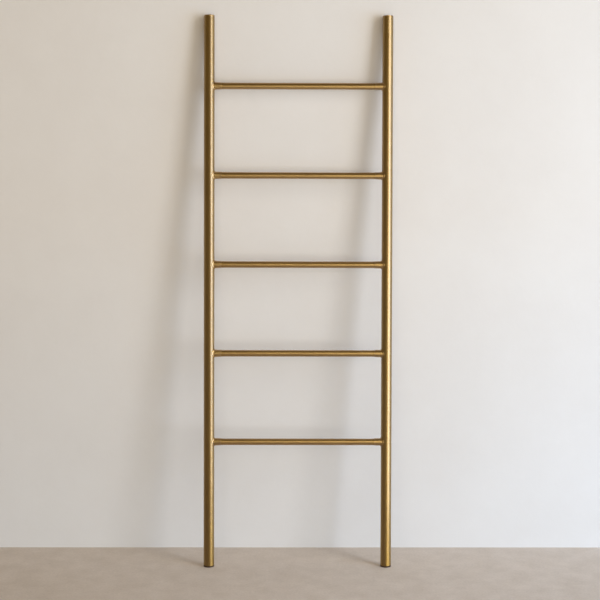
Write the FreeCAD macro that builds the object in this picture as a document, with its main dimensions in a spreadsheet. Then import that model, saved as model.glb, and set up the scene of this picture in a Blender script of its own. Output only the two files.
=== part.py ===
import FreeCAD, Part
import os
import re
import Sketcher

# Driving sizes, in millimetres and degrees. Lengths, heights and drops of the ladder run along the rails.
SIZES = {
    "ladder_length": 1550,
    "lean_angle": 6,
    "rail_spacing": 500,
    "rail_diameter": 30,
    "rail_wall": 1.5,
    "rung_count": 5,
    "low_rung_height": 353,
    "top_rung_drop": 197,
    "rung_diameter": 19,
    "rung_wall": 1.2,
    "press_gap": 0.05,
    "screw_gap": 0.2,
    "access_gap": 0.5,
    "socket_length": 20,
    "socket_floor": 2,
    "socket_lip_wall": 0.6,
    "socket_root_wall": 1.5,
    "socket_lip_chamfer": 0.3,
    "saddle_thickness": 0.8,
    "saddle_rim": 2,
    "saddle_fillet": 2.5,
    "plug_length": 24,
    "plug_chamfer": 0.6,
    "screw_diameter": 6,
    "screw_length": 25,
    "screw_tip_chamfer": 0.8,
    "screw_head_diameter": 10,
    "screw_head_height": 6,
    "screw_head_chamfer": 0.5,
    "screw_key_width": 5,
    "screw_key_depth": 3,
    "washer_edge": 0.8,
    "hole_cap_face": 2.6,
    "hole_cap_wall": 1,
    "hole_cap_bead": 0.25,
    "hole_cap_bead_length": 1.2,
    "top_cap_thickness": 3,
    "top_cap_round": 1.2,
    "top_cap_seam": 0.3,
    "top_cap_spigot": 16,
    "spigot_wall": 2,
    "spigot_chamfer": 1,
    "foot_thickness": 4.5,
    "foot_round": 0.8,
    "foot_spigot": 24,
    "tread_count": 4,
    "tread_spacing": 5,
    "tread_width": 1.6,
    "tread_depth": 0.8,
    "bumper_drop": 40,
    "bumper_standoff": 8,
    "bumper_diameter": 14,
    "bumper_round": 1,
    "stem_diameter": 5,
    "barb_length": 4,
    "barb_grip": 0.7,
}

# Sums of the driving sizes that several pieces share
RAIL_RADIUS = "(rail_diameter / 2)"
RAIL_BORE = "(rail_diameter / 2 - rail_wall)"
SPIGOT_RADIUS = "(rail_diameter / 2 - rail_wall - press_gap)"
RUNG_BORE = "(rung_diameter / 2 - rung_wall)"
RUNG_END = "(rail_diameter / 2 + socket_floor)"
RUNG_SPACING = "((ladder_length - top_rung_drop - low_rung_height) / (rung_count - 1))"
SCREW_HOLE = "(screw_diameter / 2 + screw_gap)"
ACCESS_HOLE = "(screw_head_diameter / 2 + access_gap)"
WASHER_RADIUS = "(screw_head_diameter / 2 + access_gap - screw_gap)"
WASHER_SEAT = f"(sqrt({RAIL_BORE} ^ 2 - {WASHER_RADIUS} ^ 2) - washer_edge)"
STEM_HOLE = "(stem_diameter / 2 + press_gap)"
BUMPER_HEIGHT = "(ladder_length - bumper_drop)"
BUMPER_FACE = "(rail_diameter / 2 + bumper_standoff)"
SINE = "sin(lean_angle * 1 deg)"
COSINE = "cos(lean_angle * 1 deg)"

# The rails' side view, turned so that its axes run along the floor and straight up
LEVEL_SIDE = "level side view"

# The rails meet the floor so far in front of the origin that the ladder's depth is centred on it
WALL_REACH = f"({BUMPER_FACE} * {COSINE} + {BUMPER_HEIGHT} * {SINE})"
FOOT_LINE = f"(({RAIL_RADIUS} - {WALL_REACH}) / 2)"

doc = FreeCAD.newDocument("TowelLadder")
sheet = doc.addObject("Spreadsheet::Sheet", "Sizes")
for row, (name, value) in enumerate(SIZES.items(), start=1):
    sheet.set(f"A{row}", name)
    sheet.set(f"B{row}", str(value))
    sheet.setAlias(f"B{row}", name)
doc.recompute()


def cell(word):
    name = word.group()
    return f"Sizes.{name}" if name in SIZES else name


def cells(text):
    """The same sum, with each size's name pointing at its cell."""
    return re.sub("[a-z_]+", cell, text)


def number(text):
    """What the sum comes to."""
    return float(sheet.evalExpression(cells(text)))


def near(value, text):
    return abs(value - number(text)) < number("press_gap / 10")


def origin_part(body, role):
    return next(item for item in body.Origin.OriginFeatures if item.Role == role)


def new_body(label):
    body = doc.addObject("PartDesign::Body", label)
    body.Label = label
    return body


def new_sketch(body, role):
    """A sketch on an origin plane, or on the side view turned level with the floor."""
    sketch = body.newObject("Sketcher::SketchObject", f"{body.Name}_sketch")
    sketch.AttachmentSupport = [(origin_part(body, "YZ_Plane" if role == LEVEL_SIDE else role), "")]
    sketch.MapMode = "FlatFace"
    if role == LEVEL_SIDE:
        turned = "placement(vector(0; 0; 0); rotation(vector(0; 0; 1); lean_angle))"
        sketch.setExpression("AttachmentOffset", cells(turned))
    return sketch


def constrain(sketch, text, kind, *where):
    """Add a measured constraint, bound to the sum."""
    at = sketch.addConstraint(Sketcher.Constraint(kind, *where, number(text)))
    sketch.setExpression(f"Constraints[{at}]", cells(text))


def pin_point(sketch, curve, end, x, y):
    """Hold one point of a curve at the two sums, measured from the sketch's origin."""
    for kind, axis, text in (("DistanceX", -2, x), ("DistanceY", -1, y)):
        if number(text) == 0:
            sketch.addConstraint(Sketcher.Constraint("PointOnObject", curve, end, axis))
        else:
            constrain(sketch, text, kind, -1, 1, curve, end)


def outline(body, role, *loops):
    """A sketch of closed loops of straight sides, each through its corners."""
    sketch = new_sketch(body, role)
    for corners in loops:
        points = [FreeCAD.Vector(number(x), number(y), 0) for x, y in corners]
        ends = points[1:] + points[:1]
        sides = [sketch.addGeometry(Part.LineSegment(*pair)) for pair in zip(points, ends)]
        for before, side, (x, y) in zip(sides[-1:] + sides[:-1], sides, corners):
            sketch.addConstraint(Sketcher.Constraint("Coincident", before, 2, side, 1))
            pin_point(sketch, side, 1, x, y)
    return sketch


def circles(body, role, radii, along="0"):
    """A sketch of circles round one point, which may lie up the sketch's second axis."""
    sketch = new_sketch(body, role)
    centre = FreeCAD.Vector(0, number(along), 0)
    for radius in radii:
        curve = sketch.addGeometry(Part.Circle(centre, FreeCAD.Vector(0, 0, 1), number(radius)))
        pin_point(sketch, curve, 3, "0", along)
        constrain(sketch, radius, "Radius", curve)
    return sketch


def feature(body, kind, sketch):
    item = body.newObject(f"PartDesign::{kind}", f"{body.Name}_{kind.lower()}")
    item.Profile = sketch
    return item


def pad(body, sketch, length, both_ways=False):
    item = feature(body, "Pad", sketch)
    item.setExpression("Length", cells(length))
    item.SideType = "Symmetric" if both_ways else "One side"
    doc.recompute()
    return item


def pocket(body, sketch, length, both_ways=False, forward=False):
    """Cut the sketch's shape away, against the sketch's normal or forward along it."""
    before = body.Shape.Volume
    item = feature(body, "Pocket", sketch)
    item.setExpression("Length", cells(length))
    item.SideType = "Symmetric" if both_ways else "One side"
    item.Reversed = forward
    doc.recompute()
    if not body.Shape.Volume < before:
        raise ValueError(f"{item.Name} cuts nothing")
    return item


def turn(body, sketch, axis, kind="Revolution"):
    item = feature(body, kind, sketch)
    item.ReferenceAxis = (sketch, [axis])
    item.Angle = 360
    doc.recompute()
    return item


def repeat(body, cuts, role, count, pitch):
    """Repeat the cuts along one of the body's axes."""
    item = body.newObject("PartDesign::LinearPattern", f"{body.Name}_pattern")
    item.Originals = cuts
    item.Direction = (origin_part(body, role), [""])
    item.setExpression("Occurrences", cells(count))
    item.setExpression("Length", cells(f"{pitch} * ({count} - 1)"))
    body.Tip = item
    doc.recompute()


def round_edges(body, radius, wanted):
    """Round each edge of the body on which every sampled point passes the test."""
    base = body.Tip
    edges = enumerate(base.Shape.Edges, start=1)
    names = [f"Edge{at}" for at, edge in edges if all(map(wanted, edge.discretize(9)))]
    item = body.newObject("PartDesign::Fillet", f"{body.Name}_fillet")
    item.Base = (base, names)
    item.setExpression("Radius", cells(radius))
    doc.recompute()


def block(left, right, low, high):
    """The corners of a rectangle between these sums."""
    return [(left, low), (right, low), (right, high), (left, high)]


# A rail is a tube whose lower end is cut level with the floor.
# It is drilled at each rung, narrow towards the rung and wide on the outside, and at the back for a bumper.
def make_rail(label):
    body = new_body(label)
    pad(body, circles(body, "XY_Plane", [RAIL_RADIUS, RAIL_BORE]), "ladder_length - top_cap_thickness")
    under_rail = block("-rail_diameter", "rail_diameter", "-rail_diameter", "foot_thickness")
    pocket(body, outline(body, LEVEL_SIDE, under_rail), "2 * rail_diameter", both_ways=True)
    screw_hole = circles(body, "YZ_Plane", [SCREW_HOLE], along="low_rung_height")
    access_hole = circles(body, "YZ_Plane", [ACCESS_HOLE], along="low_rung_height")
    inner_cut = pocket(body, screw_hole, "rail_diameter", forward=True)
    outer_cut = pocket(body, access_hole, "rail_diameter")
    repeat(body, [inner_cut, outer_cut], "Z_Axis", "rung_count", RUNG_SPACING)
    pocket(body, circles(body, "XZ_Plane", [STEM_HOLE], along=BUMPER_HEIGHT), "rail_diameter")
    return body


def make_rung(label):
    body = new_body(label)
    tube = circles(body, "YZ_Plane", ["rung_diameter / 2", RUNG_BORE])
    pad(body, tube, f"rail_spacing - 2 * {RUNG_END}", both_ways=True)
    return body


# The pieces of a joint are drawn round the point where the rail's axis meets the rung's, with the rung along X.
# A socket is a tapered cup for the rung end, blended into a thin saddle that hugs the rail.
def make_socket(label):
    body = new_body(label)
    bore = "(rung_diameter / 2 + press_gap)"
    root = f"({bore} + socket_root_wall)"
    lip = f"({bore} + socket_lip_wall)"
    end = f"({RAIL_RADIUS} + socket_length)"
    saddle = f"({RAIL_RADIUS} + saddle_thickness)"
    rim = f"({root} + saddle_rim)"
    pad(body, circles(body, "XY_Plane", [saddle]), f"4 * {rim}", both_ways=True)
    turn(body, outline(body, "XZ_Plane", [
        ("0", "0"),
        ("0", root),
        (f"{end} - socket_lip_chamfer", lip),
        (end, f"{lip} - socket_lip_chamfer"),
        (end, "0"),
    ]), "H_Axis")
    taper = number(f"({root} - {lip}) / ({end} - socket_lip_chamfer)")

    def at_root(point):
        off_rail = (point.x ** 2 + point.y ** 2) ** 0.5
        off_rung = (point.y ** 2 + point.z ** 2) ** 0.5
        return near(off_rail, saddle) and near(off_rung + taper * point.x, root)

    round_edges(body, "saddle_fillet", at_root)
    pocket(body, circles(body, "YZ_Plane", [rim, f"4 * {rim}"]), f"2 * {end}", forward=True)
    far_half = block(f"-2 * {saddle}", "0", f"-2 * {saddle}", f"2 * {saddle}")
    pocket(body, outline(body, "XY_Plane", far_half), f"6 * {rim}", both_ways=True)
    pocket(body, circles(body, "XY_Plane", [RAIL_RADIUS]), f"6 * {rim}", both_ways=True)
    turn(body, outline(body, "XZ_Plane", [
        ("0", "0"),
        ("0", SCREW_HOLE),
        (RUNG_END, SCREW_HOLE),
        (RUNG_END, bore),
        (f"2 * {end}", bore),
        (f"2 * {end}", "0"),
    ]), "H_Axis", kind="Groove")
    return body


# A plug fills the rung end and takes the screw, whose thread is left plain.
def make_plug(label):
    body = new_body(label)
    outside = f"({RUNG_BORE} - press_gap)"
    thread = "(screw_diameter / 2 + press_gap)"
    end = f"({RUNG_END} + plug_length)"
    turn(body, outline(body, "XZ_Plane", [
        (RUNG_END, thread),
        (RUNG_END, outside),
        (f"{end} - plug_chamfer", outside),
        (end, f"{outside} - plug_chamfer"),
        (end, thread),
    ]), "H_Axis")
    return body


def make_screw(label):
    body = new_body(label)
    shank = "(screw_diameter / 2)"
    head = "(screw_head_diameter / 2)"
    head_top = f"({WASHER_SEAT} - screw_head_height)"
    tip = f"({WASHER_SEAT} + screw_length)"
    turn(body, outline(body, "XZ_Plane", [
        (head_top, "0"),
        (head_top, f"{head} - screw_head_chamfer"),
        (f"{head_top} + screw_head_chamfer", head),
        (WASHER_SEAT, head),
        (WASHER_SEAT, shank),
        (f"{tip} - screw_tip_chamfer", shank),
        (tip, f"{shank} - screw_tip_chamfer"),
        (tip, "0"),
    ]), "H_Axis")
    key_side_count = 6
    key_corner = f"screw_key_width / (2 * cos(180 deg / {key_side_count}))"
    turns = [f"{at} * 360 deg / {key_side_count}" for at in range(key_side_count)]
    key = [(f"{key_corner} * cos({angle})", f"{key_corner} * sin({angle})") for angle in turns]
    pocket(body, outline(body, "YZ_Plane", key), f"{head_top} + screw_key_depth", forward=True)
    return body


# A washer is flat under the screw head and curved where it sits in the rail's bore.
def make_washer(label):
    body = new_body(label)
    turn(body, outline(body, "XZ_Plane", [
        (WASHER_SEAT, SCREW_HOLE),
        (WASHER_SEAT, WASHER_RADIUS),
        (RAIL_RADIUS, WASHER_RADIUS),
        (RAIL_RADIUS, SCREW_HOLE),
    ]), "H_Axis")
    past_bore = circles(body, "XY_Plane", [RAIL_BORE, f"2 * {RAIL_RADIUS}"])
    pocket(body, past_bore, f"4 * {WASHER_RADIUS}", both_ways=True)
    return body


# A hole cap is a cup whose face follows the rail, with a bead that snaps behind the rail's wall.
def make_hole_cap(label):
    body = new_body(label)
    outside = f"({ACCESS_HOLE} - press_gap)"
    inside = f"({outside} - hole_cap_wall)"
    bead = f"(press_gap - sqrt({RAIL_BORE} ^ 2 - {ACCESS_HOLE} ^ 2))"
    rim = f"({bead} + hole_cap_bead_length)"
    face = f"(hole_cap_face - {RAIL_RADIUS})"
    turn(body, outline(body, "XZ_Plane", [
        (f"-2 * {RAIL_RADIUS}", "0"),
        (f"-2 * {RAIL_RADIUS}", outside),
        (bead, outside),
        (f"{bead} + hole_cap_bead_length / 2", f"{outside} + hole_cap_bead"),
        (rim, outside),
        (rim, inside),
        (face, inside),
        (face, "0"),
    ]), "H_Axis")
    past_rail = circles(body, "XY_Plane", [RAIL_RADIUS, f"4 * {RAIL_RADIUS}"])
    pocket(body, past_rail, f"4 * {ACCESS_HOLE}", both_ways=True)
    return body


# The end pieces of a rail are drawn round its floor point, with the rail along Z.
def make_top_cap(label):
    body = new_body(label)
    seat = "(ladder_length - top_cap_thickness)"
    end = f"({seat} - top_cap_spigot)"
    turn(body, outline(body, "XZ_Plane", [
        ("0", "ladder_length"),
        (RAIL_RADIUS, "ladder_length"),
        (RAIL_RADIUS, f"{seat} + top_cap_seam"),
        (f"{RAIL_RADIUS} - top_cap_seam", seat),
        (SPIGOT_RADIUS, seat),
        (SPIGOT_RADIUS, f"{end} + spigot_chamfer"),
        (f"{SPIGOT_RADIUS} - spigot_chamfer", end),
        (f"{SPIGOT_RADIUS} - spigot_wall", end),
        (f"{SPIGOT_RADIUS} - spigot_wall", seat),
        ("0", seat),
    ]), "V_Axis")
    round_edges(body, "top_cap_round", lambda point: near(point.z, "ladder_length"))
    return body


# A foot is a round pad, level with the floor and grooved underneath, on a spigot that follows the rail.
def make_foot(label):
    body = new_body(label)
    turn(body, outline(body, "XZ_Plane", [
        ("0", "0"),
        (SPIGOT_RADIUS, "0"),
        (SPIGOT_RADIUS, "foot_spigot - spigot_chamfer"),
        (f"{SPIGOT_RADIUS} - spigot_chamfer", "foot_spigot"),
        ("0", "foot_spigot"),
    ]), "V_Axis")
    under_spigot = block("-rail_diameter", "rail_diameter", "-rail_diameter", "foot_thickness / 2")
    pocket(body, outline(body, LEVEL_SIDE, under_spigot), "2 * rail_diameter", both_ways=True)
    turn(body, outline(body, LEVEL_SIDE, block("0", RAIL_RADIUS, "0", "foot_thickness")), "V_Axis")
    sine, cosine = number(SINE), number(COSINE)
    round_edges(body, "foot_round", lambda point: near(point.z * cosine - point.y * sine, "0"))
    treads = []
    for at in range(SIZES["tread_count"]):
        middle = f"({at} - (tread_count - 1) / 2) * tread_spacing"
        front, back = f"{middle} - tread_width / 2", f"{middle} + tread_width / 2"
        treads.append(block(front, back, "-tread_depth", "tread_depth"))
    pocket(body, outline(body, LEVEL_SIDE, *treads), "2 * rail_diameter", both_ways=True)
    return body


# A bumper is a soft stud on the rail's back that lies flat on an upright wall, with a barbed stem in the rail.
def make_bumper(label):
    body = new_body(label)
    face = f"({BUMPER_FACE} * {COSINE})"
    turn(body, outline(body, LEVEL_SIDE, block("0", face, "0", "bumper_diameter / 2")), "H_Axis")
    sine, cosine = number(SINE), number(COSINE)
    round_edges(body, "bumper_round", lambda point: near(point.y * cosine + point.z * sine, face))
    pocket(body, circles(body, "XY_Plane", [RAIL_RADIUS]), "4 * bumper_diameter", both_ways=True)
    barb_radius = "(stem_diameter / 2 + barb_grip)"
    barb = f"(sqrt({RAIL_BORE} ^ 2 - {barb_radius} ^ 2) - press_gap)"
    turn(body, outline(body, "XY_Plane", [
        ("0", f"{barb} - barb_length"),
        ("stem_diameter / 2 - barb_grip", f"{barb} - barb_length"),
        (barb_radius, barb),
        ("stem_diameter / 2", barb),
        ("stem_diameter / 2", f"{RAIL_RADIUS} + bumper_standoff / 2"),
        ("0", f"{RAIL_RADIUS} + bumper_standoff / 2"),
    ]), "V_Axis")
    return body


def place(item, x, along, turned=0):
    """Lean the piece back with the ladder, at its distance from the middle and its height up the rails."""
    lean = f"placement(vector(0; {FOOT_LINE}; 0); rotation(vector(1; 0; 0); -lean_angle))"
    spot = f"placement(vector({x}; 0; {along}); rotation(vector(0; 0; 1); {turned}))"
    item.setExpression("Placement", cells(f"{lean} * {spot}"))
    return item


def copy_of(body, label):
    link = doc.addObject("App::Link", label)
    link.LinkedObject = body
    link.Label = label
    return link


def group_of(links, label):
    group = doc.addObject("Part::Compound", label)
    group.Label = label
    group.Links = links
    return group


# Each side of the ladder: where its rail stands, and how its joint pieces turn to face the rungs
SIDES = {"left": ("-rail_spacing / 2", 0), "right": ("rail_spacing / 2", 180)}

# The rails, one the mirror of the other
left_rail = place(make_rail("left_rail"), SIDES["left"][0], "0")
right_rail = doc.addObject("Part::Mirroring", "right_rail")
right_rail.Label = "right_rail"
right_rail.Source = left_rail
right_rail.Normal = FreeCAD.Vector(1, 0, 0)
nodes = [left_rail, right_rail]

# The rungs, from the lowest up, with the pieces of their joints
rung = make_rung("rung")
joint_pieces = {"socket": make_socket("socket"), "plug": make_plug("plug"), "hole_cap": make_hole_cap("hole_cap")}
fasteners = {"joint_screws": make_screw("screw"), "joint_washers": make_washer("washer")}
fastened = {label: [] for label in fasteners}
for at in range(SIZES["rung_count"]):
    height = f"(low_rung_height + {at} * {RUNG_SPACING})"
    name = f"rung_{at + 1}"
    nodes.append(place(copy_of(rung, name), "0", height))
    for side, (x, turned) in SIDES.items():
        for piece, body in joint_pieces.items():
            nodes.append(place(copy_of(body, f"{name}_{side}_{piece}"), x, height, turned))
        for label, body in fasteners.items():
            fastened[label].append(place(copy_of(body, f"{name}_{side}_{body.Name}"), x, height, turned))
nodes += [group_of(links, label) for label, links in fastened.items()]

# The end pieces of the rails
end_pieces = {
    "top_cap": (make_top_cap("top_cap"), "0"),
    "foot": (make_foot("foot"), "0"),
    "bumper": (make_bumper("bumper"), BUMPER_HEIGHT),
}
for side, (x, _) in SIDES.items():
    for piece, (body, height) in end_pieces.items():
        nodes.append(place(copy_of(body, f"{side}_{piece}"), x, height))
doc.recompute()

faulty = [item.Name for item in doc.Objects if "Invalid" in item.State or "Error" in item.State]
shapes = {item.Label: Part.getShape(item) for item in nodes}
faulty += [label for label, shape in shapes.items() if shape.isNull() or not shape.isValid()]
if faulty:
    raise ValueError(f"these did not build: {faulty}")

os.makedirs("parts", exist_ok=True)
for label, shape in shapes.items():
    shape.exportStep(f"parts/{label}.step")
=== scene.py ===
import math

import bmesh
import bpy
from mathutils import Matrix, Vector


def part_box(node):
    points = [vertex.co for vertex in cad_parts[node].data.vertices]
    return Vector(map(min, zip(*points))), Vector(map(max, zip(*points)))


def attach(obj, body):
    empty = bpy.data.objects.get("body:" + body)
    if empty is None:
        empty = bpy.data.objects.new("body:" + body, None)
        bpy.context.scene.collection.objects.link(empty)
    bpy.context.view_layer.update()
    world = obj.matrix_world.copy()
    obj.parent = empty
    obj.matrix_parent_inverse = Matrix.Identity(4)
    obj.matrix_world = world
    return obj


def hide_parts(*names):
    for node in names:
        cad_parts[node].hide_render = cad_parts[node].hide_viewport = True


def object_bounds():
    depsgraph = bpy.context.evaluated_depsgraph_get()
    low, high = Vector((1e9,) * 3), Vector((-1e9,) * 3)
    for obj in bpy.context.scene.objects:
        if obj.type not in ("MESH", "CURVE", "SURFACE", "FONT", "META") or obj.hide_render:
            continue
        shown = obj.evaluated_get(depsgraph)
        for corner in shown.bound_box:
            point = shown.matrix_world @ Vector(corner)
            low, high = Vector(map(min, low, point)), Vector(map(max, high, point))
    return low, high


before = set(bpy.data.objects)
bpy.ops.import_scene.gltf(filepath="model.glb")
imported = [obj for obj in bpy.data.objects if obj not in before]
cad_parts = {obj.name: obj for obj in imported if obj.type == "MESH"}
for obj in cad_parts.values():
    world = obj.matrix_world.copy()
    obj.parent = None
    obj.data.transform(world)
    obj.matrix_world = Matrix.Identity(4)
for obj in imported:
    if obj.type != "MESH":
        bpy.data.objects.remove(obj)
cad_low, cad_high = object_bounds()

MM = 0.001

# Sizes of the ladder, in metres and radians, as the solids have them
LEAN = math.radians(6)
LENGTH = 1550 * MM
RAIL_RADIUS = 15 * MM
RAIL_BORE = 13.5 * MM
RUNG_RADIUS = 9.5 * MM
RUNG_BORE = 8.3 * MM
TOP_CAP_THICKNESS = 3 * MM
FOOT_THICKNESS = 4.5 * MM
ACCESS_HOLE = 5.5 * MM
SCREW_HOLE = 3.2 * MM
STEM_HOLE = 2.55 * MM
BUMPER_DROP = 40 * MM

# Finer edges than the solids have
RAIL_END_BEVEL = 0.3 * MM
RUNG_END_BEVEL = 0.3 * MM
HOLE_BEVEL = 0.15 * MM

# How finely the tubes are divided
RAIL_SIDES = 64
RUNG_SIDES = 48
RUNG_RINGS = 13
JOINT_PATCH_HALF = 9 * MM
JOINT_PATCH_ROWS = 14
STEM_PATCH_HALF = 6 * MM
STEM_PATCH_ROWS = 10
ACCESS_PATCH_COLUMNS = 7
SCREW_PATCH_COLUMNS = 5
STEM_PATCH_COLUMNS = 5
PATCH_RING_SHARES = (0.3, 0.6, 0.85, 1.0)

SINE, COSINE = math.sin(LEAN), math.cos(LEAN)
FOOT_LINE = cad_low.y + RAIL_RADIUS
SIDES = {"left": -1, "right": 1}
RUNG_COUNT = sum(name.startswith("rung_") and name[len("rung_"):].isdigit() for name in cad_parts)


def node_centre(name):
    low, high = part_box(name)
    return (low + high) / 2


RUNG_HEIGHTS = [node_centre(f"rung_{at + 1}").z / COSINE for at in range(RUNG_COUNT)]


# A point of the leaning ladder: across it, out of its plane towards the wall, and up along the rails.
def ladder_point(across, out, along):
    return Vector((across, FOOT_LINE + out * COSINE + along * SINE, along * COSINE - out * SINE))


def ladder_direction(across, out, along):
    return Vector((across, out * COSINE + along * SINE, along * COSINE - out * SINE))


def add_object(name, mesh):
    item = bpy.data.objects.new(name, mesh)
    bpy.context.scene.collection.objects.link(item)
    return item


# Kinds of faces: those outside and inside are shaded round the tube, plain ones flat.
OUTSIDE, INSIDE, PLAIN = 1, 2, 0


class Tube:
    """A mesh in a tube's own measures, each vertex carrying them, that ends up on the ladder."""

    def __init__(self, name, to_ladder, direction):
        self.name = name
        self.to_ladder = to_ladder
        self.direction = direction
        self.bm = bmesh.new()
        self.measures = self.bm.verts.layers.float_vector.new("tube")
        self.axis = self.bm.verts.layers.float_vector.new("axis")
        self.kind = self.bm.faces.layers.int.new("kind")

    def vertex(self, u, v, along):
        vert = self.bm.verts.new(self.to_ladder(u, v, along))
        vert[self.measures] = Vector((u, v, along))
        vert[self.axis] = self.direction(0, 0, 1)
        return vert

    def band(self, first, second, kind):
        """Quads between two closed rings of vertices."""
        for at in range(len(first)):
            self.face((first[at - 1], first[at], second[at], second[at - 1]), kind)

    def face(self, corners, kind):
        self.bm.faces.new(corners)[self.kind] = kind

    def finish(self, material):
        """The object, with normals that follow the true cylinder."""
        bmesh.ops.recalc_face_normals(self.bm, faces=self.bm.faces)
        mesh = bpy.data.meshes.new(self.name)
        self.bm.to_mesh(mesh)
        self.bm.free()
        kinds = [item.value for item in mesh.attributes["kind"].data]
        measures = [item.vector.copy() for item in mesh.attributes["tube"].data]
        normals = [None] * len(mesh.loops)
        for polygon in mesh.polygons:
            polygon.use_smooth = True
            for loop in polygon.loop_indices:
                normal = polygon.normal.copy()
                if kinds[polygon.index] != PLAIN:
                    u, v, _ = measures[mesh.loops[loop].vertex_index]
                    normal = self.direction(u, v, 0).normalized()
                    if kinds[polygon.index] == INSIDE:
                        normal.negate()
                normals[loop] = normal
        mesh.normals_split_custom_set(normals)
        mesh.attributes.remove(mesh.attributes["kind"])
        mesh.materials.append(material)
        return add_object(self.name, mesh)


# A rail, drilled as its solid is: at each rung, wide on the outer side and narrow on the side of the rung,
# and once at the back, near the top.
def make_rail(side, material):
    outward = SIDES[side]
    middle = node_centre(f"{side}_rail").x
    tube = Tube(
        f"{side}_rail_tube",
        lambda u, v, along: ladder_point(middle + outward * u, v, along),
        lambda u, v, along: ladder_direction(outward * u, v, along),
    )
    angles = [math.tau * at / RAIL_SIDES for at in range(RAIL_SIDES)]

    def ring(radius, along):
        return [tube.vertex(radius * math.cos(a), radius * math.sin(a), along) for a in angles]

    def level_ring(radius, height):
        """A ring cut level with the floor, at its height above it."""
        corners = [(radius * math.cos(a), radius * math.sin(a)) for a in angles]
        return [tube.vertex(u, v, (height + v * SINE) / COSINE) for u, v in corners]

    # The patches that the holes are cut in: middle height, half height, rows, and for each hole its angle,
    # half width in columns, radius and rim bevel
    quarter = RAIL_SIDES // 4
    access = (0, ACCESS_PATCH_COLUMNS, ACCESS_HOLE, HOLE_BEVEL)
    screw = (2 * quarter, SCREW_PATCH_COLUMNS, SCREW_HOLE, HOLE_BEVEL)
    stem = (quarter, STEM_PATCH_COLUMNS, STEM_HOLE, HOLE_BEVEL)
    patches = [(height, JOINT_PATCH_HALF, JOINT_PATCH_ROWS, (access, screw)) for height in RUNG_HEIGHTS]
    patches.append((LENGTH - BUMPER_DROP, STEM_PATCH_HALF, STEM_PATCH_ROWS, (stem,)))

    heights = []
    for height, half, rows, _ in patches:
        heights += [height + half * (2 * row / rows - 1) for row in range(rows + 1)]
    top = LENGTH - TOP_CAP_THICKNESS
    outer = [level_ring(RAIL_RADIUS, FOOT_THICKNESS + RAIL_END_BEVEL)]
    outer += [ring(RAIL_RADIUS, along) for along in heights]
    outer.append(ring(RAIL_RADIUS, top - RAIL_END_BEVEL))
    inner = [level_ring(RAIL_BORE, FOOT_THICKNESS)]
    inner += [ring(RAIL_BORE, along) for along in heights]
    inner.append(ring(RAIL_BORE, top))
    foot_edge = level_ring(RAIL_RADIUS - RAIL_END_BEVEL, FOOT_THICKNESS)
    top_edge = ring(RAIL_RADIUS - RAIL_END_BEVEL, top)
    ends = (
        (foot_edge, outer[0]),
        (outer[-1], top_edge),
        (top_edge, inner[-1]),
        (inner[0], foot_edge),
    )
    for first, second in ends:
        tube.band(first, second, PLAIN)

    # Cells of the grid that a hole's patch takes the place of
    taken = set()
    row = 1
    for height, _, rows, holes in patches:
        for column, half_columns, radius, bevel in holes:
            span = range(column - half_columns, column + half_columns)
            taken |= {(at % RAIL_SIDES, row + step) for at in span for step in range(rows)}
            cut_hole(tube, (outer, inner), row, rows, column, half_columns, height, radius, bevel)
        row += rows + 1
    for rings, kind in ((outer, OUTSIDE), (inner, INSIDE)):
        for level in range(len(rings) - 1):
            for at in range(RAIL_SIDES):
                if (at, level) not in taken:
                    after = (at + 1) % RAIL_SIDES
                    low, high = rings[level], rings[level + 1]
                    tube.face((low[at], low[after], high[after], high[at]), kind)
    return tube.finish(material)


def cut_hole(tube, walls, row, rows, column, half_columns, height, radius, bevel):
    """Close in on a round hole with rings in a patch of the tube's two walls, and join the walls in it."""
    turn = math.tau * column / RAIL_SIDES
    left, right = column - half_columns, column + half_columns
    edge = [(at, row) for at in range(left, right)]
    edge += [(right, level) for level in range(row, row + rows)]
    edge += [(at, row + rows) for at in range(right, left, -1)]
    edge += [(left, level) for level in range(row + rows, row, -1)]

    def spot(sideways, upward, tube_radius, sunk=0):
        """A point of a wall, measured from the hole's middle."""
        depth = math.sqrt(tube_radius ** 2 - sideways ** 2) - sunk
        u = depth * math.cos(turn) - sideways * math.sin(turn)
        v = depth * math.sin(turn) + sideways * math.cos(turn)
        return tube.vertex(u, v, height + upward)

    def offset(vert):
        u, v, along = vert[tube.measures]
        return v * math.cos(turn) - u * math.sin(turn), along - height

    rims = []
    headings = None
    by_wall = zip(walls, (RAIL_RADIUS, RAIL_BORE), (OUTSIDE, INSIDE), (radius + bevel, radius))
    for rings, tube_radius, kind, rim in by_wall:
        loop = [rings[level][at % RAIL_SIDES] for at, level in edge]
        offsets = [offset(vert) for vert in loop]
        headings = headings or [math.atan2(upward, sideways) for sideways, upward in offsets]
        for share in PATCH_RING_SHARES:
            closer = []
            for (sideways, upward), heading in zip(offsets, headings):
                aside = sideways + share * (rim * math.cos(heading) - sideways)
                above = upward + share * (rim * math.sin(heading) - upward)
                closer.append(spot(aside, above, tube_radius))
            tube.band(loop, closer, kind)
            loop = closer
        rims.append(loop)
    sunk_rim = [spot(radius * math.cos(h), radius * math.sin(h), RAIL_RADIUS, bevel) for h in headings]
    tube.band(rims[0], sunk_rim, PLAIN)
    tube.band(sunk_rim, rims[1], PLAIN)


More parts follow.
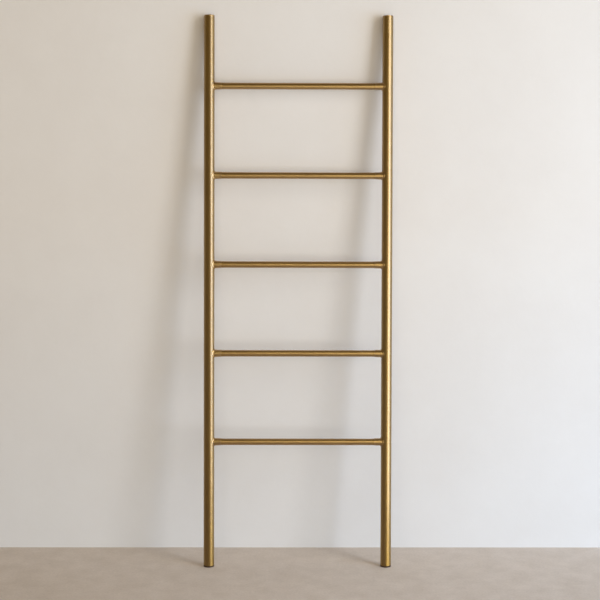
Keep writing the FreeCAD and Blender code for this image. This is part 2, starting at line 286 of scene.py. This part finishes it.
def make_rung(name, material):
    low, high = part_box(name)
    height = node_centre(name).z / COSINE
    tube = Tube(
        f"{name}_tube",
        lambda u, v, along: ladder_point(along, u, height + v),
        lambda u, v, along: ladder_direction(along, u, v),
    )
    angles = [math.tau * at / RUNG_SIDES for at in range(RUNG_SIDES)]

    def ring(radius, along):
        return [tube.vertex(radius * math.cos(a), radius * math.sin(a), along) for a in angles]

    start, end = low.x + RUNG_END_BEVEL, high.x - RUNG_END_BEVEL
    places = [start + (end - start) * at / (RUNG_RINGS - 1) for at in range(RUNG_RINGS)]
    outer = [ring(RUNG_RADIUS, along) for along in places]
    inner = [ring(RUNG_BORE, along) for along in (low.x, high.x)]
    rims = [ring(RUNG_RADIUS - RUNG_END_BEVEL, along) for along in (low.x, high.x)]
    for first, second in zip(outer, outer[1:]):
        tube.band(first, second, OUTSIDE)
    tube.band(*inner, INSIDE)
    for rim, bore, side in zip(rims, inner, (outer[0], outer[-1])):
        tube.band(rim, side, PLAIN)
        tube.band(bore, rim, PLAIN)
    return tube.finish(material)


# Materials

# The two shades of each material, in linear light
RAIL_BRASS = ((0.390, 0.226, 0.016, 1), (0.430, 0.255, 0.021, 1))
RUNG_BRASS = ((0.360, 0.212, 0.057, 1), (0.400, 0.240, 0.068, 1))
RUBBER = ((0.056, 0.027, 0.009, 1), (0.070, 0.039, 0.018, 1))
ZINC = ((0.44, 0.45, 0.45, 1), (0.56, 0.57, 0.58, 1))
FLOOR = ((0.69, 0.60, 0.51, 1), (0.79, 0.70, 0.61, 1))
WALL = ((0.79, 0.764, 0.73, 1), (0.825, 0.804, 0.773, 1))

# Noise textures: features per metre, levels of detail, and how strong the finer levels are
NOISES = {
    "brass_clouds": (60, 4, 0.5),
    "brass_wear": (140, 4, 0.5),
    "brass_lines": (3000, 2, 0.5),
    "rubber_dust": (180, 5, 0.5),
    "rubber_grain": (2500, 2, 0.5),
    "zinc_spangle": (400, 3, 0.5),
    "zinc_haze": (900, 3, 0.5),
    "floor_clouds": (14, 9, 0.68),
    "floor_grit": (160, 4, 0.5),
    "wall_clouds": (3, 10, 0.7),
    "wall_trowel": (20, 8, 0.6),
}

# Textures that also raise the surface: strength, and height in metres
BUMPS = {
    "brass_lines": (0.03, 0.01 * MM),
    "rubber_grain": (0.25, 0.05 * MM),
    "zinc_spangle": (0.1, 0.02 * MM),
    "floor_grit": (0.05, 0.2 * MM),
    "wall_trowel": (0.16, 4 * MM),
}

# Between which values of a noise one shade turns into the other
WIDE_SPAN = (0.3, 0.7)
MIDDLE_SPAN = (0.32, 0.68)
NARROW_SPAN = (0.35, 0.65)
DUST_SPAN = (0.4, 0.75)

# Brass: how far its clouds and grinding lines are drawn out, how much rougher it is where it is worn, its
# lacquer, and the turn of the grain on the castings
CLOUD_STRETCH_SHARE = 0.3
GRINDING_STRETCH_SHARE = 0.03
BRASS_WEAR_STEP = 0.02
LACQUER_IOR = 1.7
QUARTER_TURN = 0.25

# Roughness and gloss of the other materials, and the floor's darker grit
RUBBER_ROUGHNESS = (0.42, 0.6)
ZINC_ROUGHNESS = (0.3, 0.45)
FLOOR_ROUGHNESS = (0.75, 0.9)
FLOOR_GLOSS = 0.15
GRIT_SHADES = (0.55, 1.0)
GRIT_SHARE = 0.2
WALL_ROUGHNESS = 0.85
WALL_GLOSS = 0.2

# Painted light on the plaster: a cooler tint at the floor and a warmer one higher up, standing in for the
# light's colour, and the height in metres where the second is reached
PAINTED_LIGHT_TINTS = ((0.955, 0.98, 1.0, 1), (1.0, 0.97, 0.92, 1))
PAINTED_LIGHT_HEIGHT = 1.0


class Shader:
    """A material's nodes, added one by one and joined by name."""

    def __init__(self, name):
        self.material = bpy.data.materials.new(name)
        self.material.use_nodes = True
        self.nodes = self.material.node_tree.nodes
        self.links = self.material.node_tree.links
        self.surface = self.nodes["Principled BSDF"]

    def add(self, kind, settings=None, **inputs):
        """A node with its plain inputs set and its linked inputs joined to other nodes' outputs."""
        node = self.nodes.new(kind)
        for key, value in (settings or {}).items():
            setattr(node, key, value)
        for key, value in inputs.items():
            self.set(node, key, value)
        return node

    def set(self, node, key, value):
        name = key.replace("_", " ")
        socket = next(item for item in node.inputs if item.name == name and item.enabled)
        if isinstance(value, bpy.types.NodeSocket):
            self.links.new(value, socket)
        else:
            socket.default_value = value

    def dress(self, **inputs):
        for key, value in inputs.items():
            self.set(self.surface, key, value)

    def place(self):
        return self.add("ShaderNodeTexCoord").outputs["Object"]

    def carried(self, name):
        """A measure that the mesh's vertices carry."""
        return self.add("ShaderNodeAttribute", {"attribute_name": name}).outputs["Vector"]

    def ramp(self, factor, span, values):
        """From one colour or number to another across a span of the factor."""
        node = self.add("ShaderNodeValToRGB", Fac=factor)
        for element, position, value in zip(node.color_ramp.elements, span, values):
            element.position = position
            element.color = value if isinstance(value, tuple) else (value, value, value, 1)
        return node.outputs["Color"]

    def noise(self, name, where):
        scale, detail, roughness = NOISES[name]
        node = self.add("ShaderNodeTexNoise", Vector=where, Scale=scale, Detail=detail, Roughness=roughness)
        return node.outputs["Fac"]

    def stretched(self, where, scale):
        return self.add("ShaderNodeMapping", Vector=where, Scale=scale).outputs["Vector"]

    def bump(self, name, texture):
        strength, height = BUMPS[name]
        node = self.add("ShaderNodeBump", Height=texture, Strength=strength, Distance=height)
        return node.outputs["Normal"]

    def multiply(self, share, first, second):
        """One colour times another, to a share."""
        settings = {"data_type": "RGBA", "blend_type": "MULTIPLY"}
        return self.add("ShaderNodeMix", settings, Factor=share, A=first, B=second).outputs[2]

    def hide(self, share):
        """Make the surface clear by a share."""
        clear = self.nodes.new("ShaderNodeBsdfTransparent").outputs[0]
        mix = self.nodes.new("ShaderNodeMixShader")
        for socket, value in zip(mix.inputs, (share, self.surface.outputs[0], clear)):
            self.links.new(value, socket)
        self.links.new(mix.outputs[0], self.nodes["Material Output"].inputs["Surface"])


def brass(name, tube, colours, roughness, grain, coat):
    """Lacquered antique brass: cloudy colour, fine grinding lines round the tube, a clear coat."""
    shader = Shader(name)
    if tube:
        where = shader.carried("tube")
        shader.dress(Tangent=shader.carried("axis"))
        grinding = shader.stretched(where, (GRINDING_STRETCH_SHARE, GRINDING_STRETCH_SHARE, 1))
    else:
        where = shader.place()
        around = shader.add("ShaderNodeTangent", {"direction_type": "RADIAL", "axis": "X"}).outputs[0]
        shader.dress(Tangent=around, Anisotropic_Rotation=QUARTER_TURN)
        grinding = shader.stretched(where, (1, GRINDING_STRETCH_SHARE, GRINDING_STRETCH_SHARE))
    clouds = shader.noise("brass_clouds", shader.stretched(where, (1, 1, CLOUD_STRETCH_SHARE)))
    wear = shader.noise("brass_wear", where)
    lines = shader.noise("brass_lines", grinding)
    shader.dress(
        Metallic=1,
        Base_Color=shader.ramp(clouds, NARROW_SPAN, colours),
        Roughness=shader.ramp(wear, WIDE_SPAN, (roughness, roughness + BRASS_WEAR_STEP)),
        Anisotropic=grain,
        Coat_Weight=1,
        Coat_IOR=LACQUER_IOR,
        Coat_Roughness=coat,
        Normal=shader.bump("brass_lines", lines),
    )
    return shader.material


def rubber():
    shader = Shader("moulded_rubber")
    where = shader.place()
    dust = shader.noise("rubber_dust", where)
    grain = shader.noise("rubber_grain", where)
    shader.dress(
        Base_Color=shader.ramp(dust, DUST_SPAN, RUBBER),
        Roughness=shader.ramp(dust, WIDE_SPAN, RUBBER_ROUGHNESS),
        Normal=shader.bump("rubber_grain", grain),
    )
    return shader.material


def zinc():
    shader = Shader("zinc_plated_steel")
    where = shader.place()
    spangle = shader.noise("zinc_spangle", where)
    haze = shader.noise("zinc_haze", where)
    shader.dress(
        Metallic=1,
        Base_Color=shader.ramp(spangle, NARROW_SPAN, ZINC),
        Roughness=shader.ramp(haze, WIDE_SPAN, ZINC_ROUGHNESS),
        Normal=shader.bump("zinc_spangle", spangle),
    )
    return shader.material


rail_brass = brass("lacquered_brass_rail", True, RAIL_BRASS, roughness=0.71, grain=0.90, coat=0.35)
rung_brass = brass("lacquered_brass_rung", True, RUNG_BRASS, roughness=0.33, grain=0.92, coat=0.26)
cast_brass = brass("lacquered_brass_casting", False, RUNG_BRASS, roughness=0.38, grain=0.92, coat=0.28)
dark_rubber = rubber()
zinc_steel = zinc()

# The tubes take the place of their solids; every other solid stays, in a better material.
rail_tubes = []
rung_tubes = []
for side in SIDES:
    piece = make_rail(side, rail_brass)
    rail_tubes.append(piece)
    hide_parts(f"{side}_rail")
    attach(piece, "root")
for at in range(RUNG_COUNT):
    name = f"rung_{at + 1}"
    piece = make_rung(name, rung_brass)
    rung_tubes.append(piece)
    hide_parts(name)
    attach(piece, "root")
finishes = {
    "foot": dark_rubber,
    "bumper": dark_rubber,
    "plug": zinc_steel,
    "screws": zinc_steel,
    "washers": zinc_steel,
}
for name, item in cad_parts.items():
    item.data.materials[0] = finishes.get(name.split("_")[-1], cast_brass)


# The stage: a stone floor that fades out into the room, and a plastered wall that is seen only from the front
WALL_GAP = 0.6 * MM
WALL_WIDTH = 2.2
WALL_HEIGHT = 2.6
FLOOR_SIZE = 8.0
FLOOR_FADE_START = 1.7
FLOOR_FADE_END = 3.2


def panel(name, corners, material):
    mesh = bpy.data.meshes.new(name)
    mesh.from_pydata(corners, [], [range(len(corners))])
    mesh.materials.append(material)
    item = add_object(name, mesh)


def floor_material():
    shader = Shader("stage_floor")
    where = shader.place()
    clouds = shader.noise("floor_clouds", where)
    grit = shader.noise("floor_grit", where)
    colour = shader.ramp(clouds, MIDDLE_SPAN, FLOOR)
    specks = shader.ramp(grit, WIDE_SPAN, GRIT_SHADES)
    shader.dress(
        Base_Color=shader.multiply(GRIT_SHARE, colour, specks),
        Roughness=shader.ramp(clouds, WIDE_SPAN, FLOOR_ROUGHNESS),
        Specular_IOR_Level=FLOOR_GLOSS,
        Normal=shader.bump("floor_grit", grit),
    )
    away = shader.add("ShaderNodeVectorMath", {"operation": "LENGTH"}, Vector=where).outputs["Value"]
    limits = {"From_Min": FLOOR_FADE_START, "From_Max": FLOOR_FADE_END}
    fade = shader.add("ShaderNodeMapRange", {"interpolation_type": "SMOOTHSTEP"}, Value=away, **limits)
    shader.hide(fade.outputs["Result"])
    return shader.material


def wall_material():
    shader = Shader("stage_wall")
    where = shader.place()
    clouds = shader.noise("wall_clouds", where)
    trowel = shader.noise("wall_trowel", where)
    height = shader.add("ShaderNodeSeparateXYZ", Vector=where).outputs["Z"]
    colour = shader.ramp(clouds, WIDE_SPAN, WALL)
    # Painted light: the plaster's colour is tinted cooler near the floor and warmer higher up
    painted_light_tint = shader.ramp(height, (0, PAINTED_LIGHT_HEIGHT), PAINTED_LIGHT_TINTS)
    shader.dress(
        Base_Color=shader.multiply(1, colour, painted_light_tint),
        Roughness=WALL_ROUGHNESS,
        Specular_IOR_Level=WALL_GLOSS,
        Normal=shader.bump("wall_trowel", trowel),
    )
    shader.hide(shader.add("ShaderNodeNewGeometry").outputs["Backfacing"])
    return shader.material


half_floor = FLOOR_SIZE / 2
panel("stage_floor", [
    (-half_floor, -half_floor, 0),
    (half_floor, -half_floor, 0),
    (half_floor, half_floor, 0),
    (-half_floor, half_floor, 0),
], floor_material())
half_wall = WALL_WIDTH / 2
wall_line = cad_high.y + WALL_GAP
panel("stage_wall", [
    (-half_wall, wall_line, 0),
    (half_wall, wall_line, 0),
    (half_wall, wall_line, WALL_HEIGHT),
    (-half_wall, wall_line, WALL_HEIGHT),
], wall_material())


# Light: two soft windows on the right, a low fill from the front that the metal doesn't mirror, and two
# cards that only the ladder's gloss shows. Places and sizes are in metres.
LAMPS = {
    "window_light": {
        "place": (4.49, -3.98, 2.4),
        "target": (0, 0, 1.2),
        "width": 2.1,
        "height": 4.8,
        "watts": 163,
        "colour": (1.01, 1.0, 1.0),
    },
    "near_window_light": {
        "place": (2.75, -1.45, 0.95),
        "target": (0, 0, 0.5),
        "width": 2.2,
        "height": 1.8,
        "watts": 36,
        "colour": (0.64, 0.98, 1.52),
    },
    "fill_light": {
        "place": (0.8, -4.6, 1.2),
        "target": (0, 0, 0.9),
        "width": 5.0,
        "height": 2.2,
        "watts": 61,
        "colour": (1.02, 1.0, 0.95),
    },
    "reflector_card": {
        "place": (0.60, -0.38, 0.94),
        "target": (0, 0, 0.94),
        "width": 0.4,
        "height": 1.7,
        "watts": 8.2,
        "colour": (1, 1, 1),
    },
    "rung_card": {
        "place": (1.36, -1.08, 0.84),
        "target": (0, 0, 0.84),
        "width": 1.9,
        "height": 1.6,
        "watts": 30,
        "colour": (1, 1, 1),
    },
}


def soft_light(name, place, target, width, height, watts, colour):
    lamp = bpy.data.lights.new(name, "AREA")
    lamp.shape = "RECTANGLE"
    lamp.size = width
    lamp.size_y = height
    lamp.energy = watts
    lamp.color = colour
    item = bpy.data.objects.new(name, lamp)
    item.location = place
    item.rotation_euler = (Vector(target) - Vector(place)).to_track_quat("-Z", "Y").to_euler()
    item.visible_camera = False
    bpy.context.scene.collection.objects.link(item)
    return item


def light_only(lamp, pieces):
    """Let a lamp light these pieces alone, and only by their gloss."""
    lamp.visible_diffuse = False
    lit = bpy.data.collections.new(f"{lamp.name}_lit")
    for piece in pieces:
        lit.objects.link(piece)
    lamp.light_linking.receiver_collection = lit


lamps = {name: soft_light(name, **settings) for name, settings in LAMPS.items()}
lamps["fill_light"].visible_glossy = False
right_sockets = [item for name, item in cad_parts.items() if name.endswith("_right_socket")]
other_solids = [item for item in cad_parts.values() if item not in right_sockets]
light_only(lamps["reflector_card"], other_solids + rail_tubes)
light_only(lamps["rung_card"], right_sockets + rung_tubes)

# The room: dim above the horizon, pale as the floor below it
ROOM_COLOUR = (0.21, 0.155, 0.082, 1)
FAR_FLOOR_COLOUR = (0.40, 0.345, 0.27, 1)
HORIZON_BLUR = 0.06
world = bpy.data.worlds.new("dim_room")
world.use_nodes = True
nodes, links = world.node_tree.nodes, world.node_tree.links
heading = nodes.new("ShaderNodeTexCoord").outputs["Generated"]
parts = nodes.new("ShaderNodeSeparateXYZ")
links.new(heading, parts.inputs[0])
horizon = nodes.new("ShaderNodeValToRGB")
horizon.color_ramp.elements[0].color = FAR_FLOOR_COLOUR
horizon.color_ramp.elements[1].color = ROOM_COLOUR
horizon.color_ramp.elements[1].position = HORIZON_BLUR
links.new(parts.outputs["Z"], horizon.inputs[0])
links.new(horizon.outputs["Color"], nodes["Background"].inputs["Color"])
scene = bpy.context.scene
scene.world = world
scene.view_settings.view_transform = "Standard"

# The camera, where the photograph was taken from; its sensor is in millimetres, its angles are in degrees
PICTURE_WIDTH = 600
FOCAL_LENGTH_PIXELS = 1574.3
SENSOR_WIDTH = 36
CAMERA_PLACE = Vector((-0.048, -4.393, 1.3555))
CAMERA_YAW = -0.701
CAMERA_PITCH = -7.862
CAMERA_ROLL = 0.224
LEVEL = 90


def rotation(degrees, axis):
    return Matrix.Rotation(math.radians(degrees), 4, axis)


camera = bpy.data.cameras.new("camera")
camera.sensor_width = SENSOR_WIDTH
camera.lens = camera.sensor_width * FOCAL_LENGTH_PIXELS / PICTURE_WIDTH
eye = bpy.data.objects.new("camera", camera)
aim = rotation(CAMERA_YAW, "Z") @ rotation(LEVEL + CAMERA_PITCH, "X") @ rotation(CAMERA_ROLL, "Z")
eye.matrix_world = Matrix.Translation(CAMERA_PLACE) @ aim
scene.collection.objects.link(eye)
scene.camera = eye
